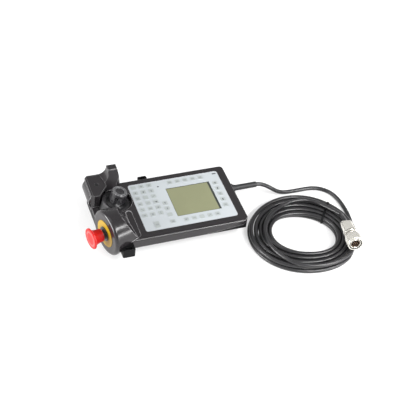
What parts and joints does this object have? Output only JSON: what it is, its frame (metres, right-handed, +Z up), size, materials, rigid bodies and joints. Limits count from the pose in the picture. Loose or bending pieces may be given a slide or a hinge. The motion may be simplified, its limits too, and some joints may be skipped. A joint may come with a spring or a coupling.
{
  "type": "teach pendant",
  "caption": "Wired robot teach pendant with a keypad and display deck, a side emergency stop, a three-axis joystick, an enabling grip and a coiled lead with a round plug.",
  "frame": {"origin": "middle of the pendant's underside, under the centre of its own box without the cable", "axes": "+X along the pendant towards the cable exit, +Y away from the user towards the finger guard, +Z up out of the keypad deck"},
  "size_m": [0.5443, 0.31, 0.095],
  "materials": {
    "case_top": "fine matt texture",
    "case_bottom": "fine matt texture",
    "screws": "zinc plated",
    "keypad": "satin printed film",
    "circuit_board": "solder mask",
    "domes": "pressed sheet",
    "window": "clear",
    "lcd": "olive display glass",
    "black_trim": "moulded",
    "brass_posts": "turned",
    "joystick_plastic": "moulded",
    "black_rubber": "matt",
    "steel": "turned",
    "yellow_label": "satin",
    "white_plastic": "moulded",
    "red_plastic": "glossy",
    "cable_jacket": "satin jacket",
    "nickel": "matt nickel plate",
    "gold_pins": "gold plated"
  },
  "bodies": {
    "case": {"top_shell": "case_top", "bottom_shell": "case_bottom", "shell_screws": "screws", "keypad_sheet": "keypad", "keypad_board": "circuit_board", "snap_domes": "domes", "display_window": "window", "display_frame": "black_trim", "lcd_module": "lcd", "main_board": "circuit_board", "board_standoffs": "brass_posts", "joystick_cup": "black_trim", "joystick_bezel": "joystick_plastic", "joystick_boot": "black_rubber", "centring_ring": "black_rubber", "sensor_board": "circuit_board", "stop_label_disc": "yellow_label", "stop_collar": "black_trim", "stop_bush": "black_trim", "stop_locknut": "steel", "stop_contact_block": "black_trim", "grip_housing": "case_top", "grip_cover": "case_top", "cover_screw": "screws", "grip_bolts": "screws", "lever_pin": "steel", "lever_spring": "steel", "enabling_switch": "black_trim", "strap_clip_front": "black_trim", "strap_clip_rear": "black_trim", "cable_gland": "black_trim", "gland_nut": "black_trim", "bend_sleeve": "black_rubber", "cable_lead": "cable_jacket", "cable_coil": "cable_jacket", "cable_tail": "cable_jacket", "cable_ties": "black_trim", "connector_backshell": "nickel", "connector_clamp": "nickel", "clamp_screws": "screws", "connector_barrel": "nickel", "connector_insert": "black_trim", "connector_pins": "gold_pins"},
    "stop_plunger": {"stop_plunger": "white_plastic"},
    "stop_button": {"stop_mushroom": "red_plastic"},
    "joystick_gimbal": {"joystick_gimbal": "steel"},
    "joystick_stick": {"joystick_stem": "steel"},
    "joystick_knob": {"joystick_knob": "joystick_plastic", "joystick_cap": "joystick_plastic"},
    "enabling_lever": {"enabling_lever": "black_rubber"},
    "coupling_ring": {"coupling_ring": "nickel"}
  },
  "joints": [
    {"name": "stop_push", "type": "slide", "parent": "case", "child": "stop_plunger", "axis": [0.9744, 0.225, 0], "range_m": [0, 0.004]},
    {"name": "stop_twist", "type": "hinge", "parent": "stop_plunger", "child": "stop_button", "pos_m": [-0.12574, -0.049, 0.05], "axis": [-0.9744, -0.225, 0], "range_deg": [-45, 0], "stiffness_Nm_per_rad": 0.05},
    {"name": "joystick_tilt_fore_aft", "type": "hinge", "parent": "case", "child": "joystick_gimbal", "pos_m": [-0.08463, 0.03, 0.03442], "axis": [0.9703, 0, -0.2419], "range_deg": [-10, 10], "stiffness_Nm_per_rad": 0.8},
    {"name": "joystick_tilt_left_right", "type": "hinge", "parent": "joystick_gimbal", "child": "joystick_stick", "pos_m": [-0.08463, 0.03, 0.03442], "axis": [0, 1, 0], "range_deg": [-10, 10], "stiffness_Nm_per_rad": 0.8},
    {"name": "joystick_twist", "type": "hinge", "parent": "joystick_stick", "child": "joystick_knob", "pos_m": [-0.08463, 0.03, 0.03442], "axis": [0.2419, 0, 0.9703], "range_deg": [-20, 20], "stiffness_Nm_per_rad": 0.15},
    {"name": "lever_press", "type": "hinge", "parent": "case", "child": "enabling_lever", "pos_m": [-0.12024, 0.068, 0.03], "axis": [0, 1, 0], "range_deg": [0, 9], "stiffness_Nm_per_rad": 0.4, "springref_deg": -5.73},
    {"name": "coupling_ring_turn", "type": "hinge", "parent": "case", "child": "coupling_ring", "pos_m": [0.34226, -0.133, 0.04], "axis": [-0.1354, -0.9883, 0.0698], "continuous": true}
  ]
}
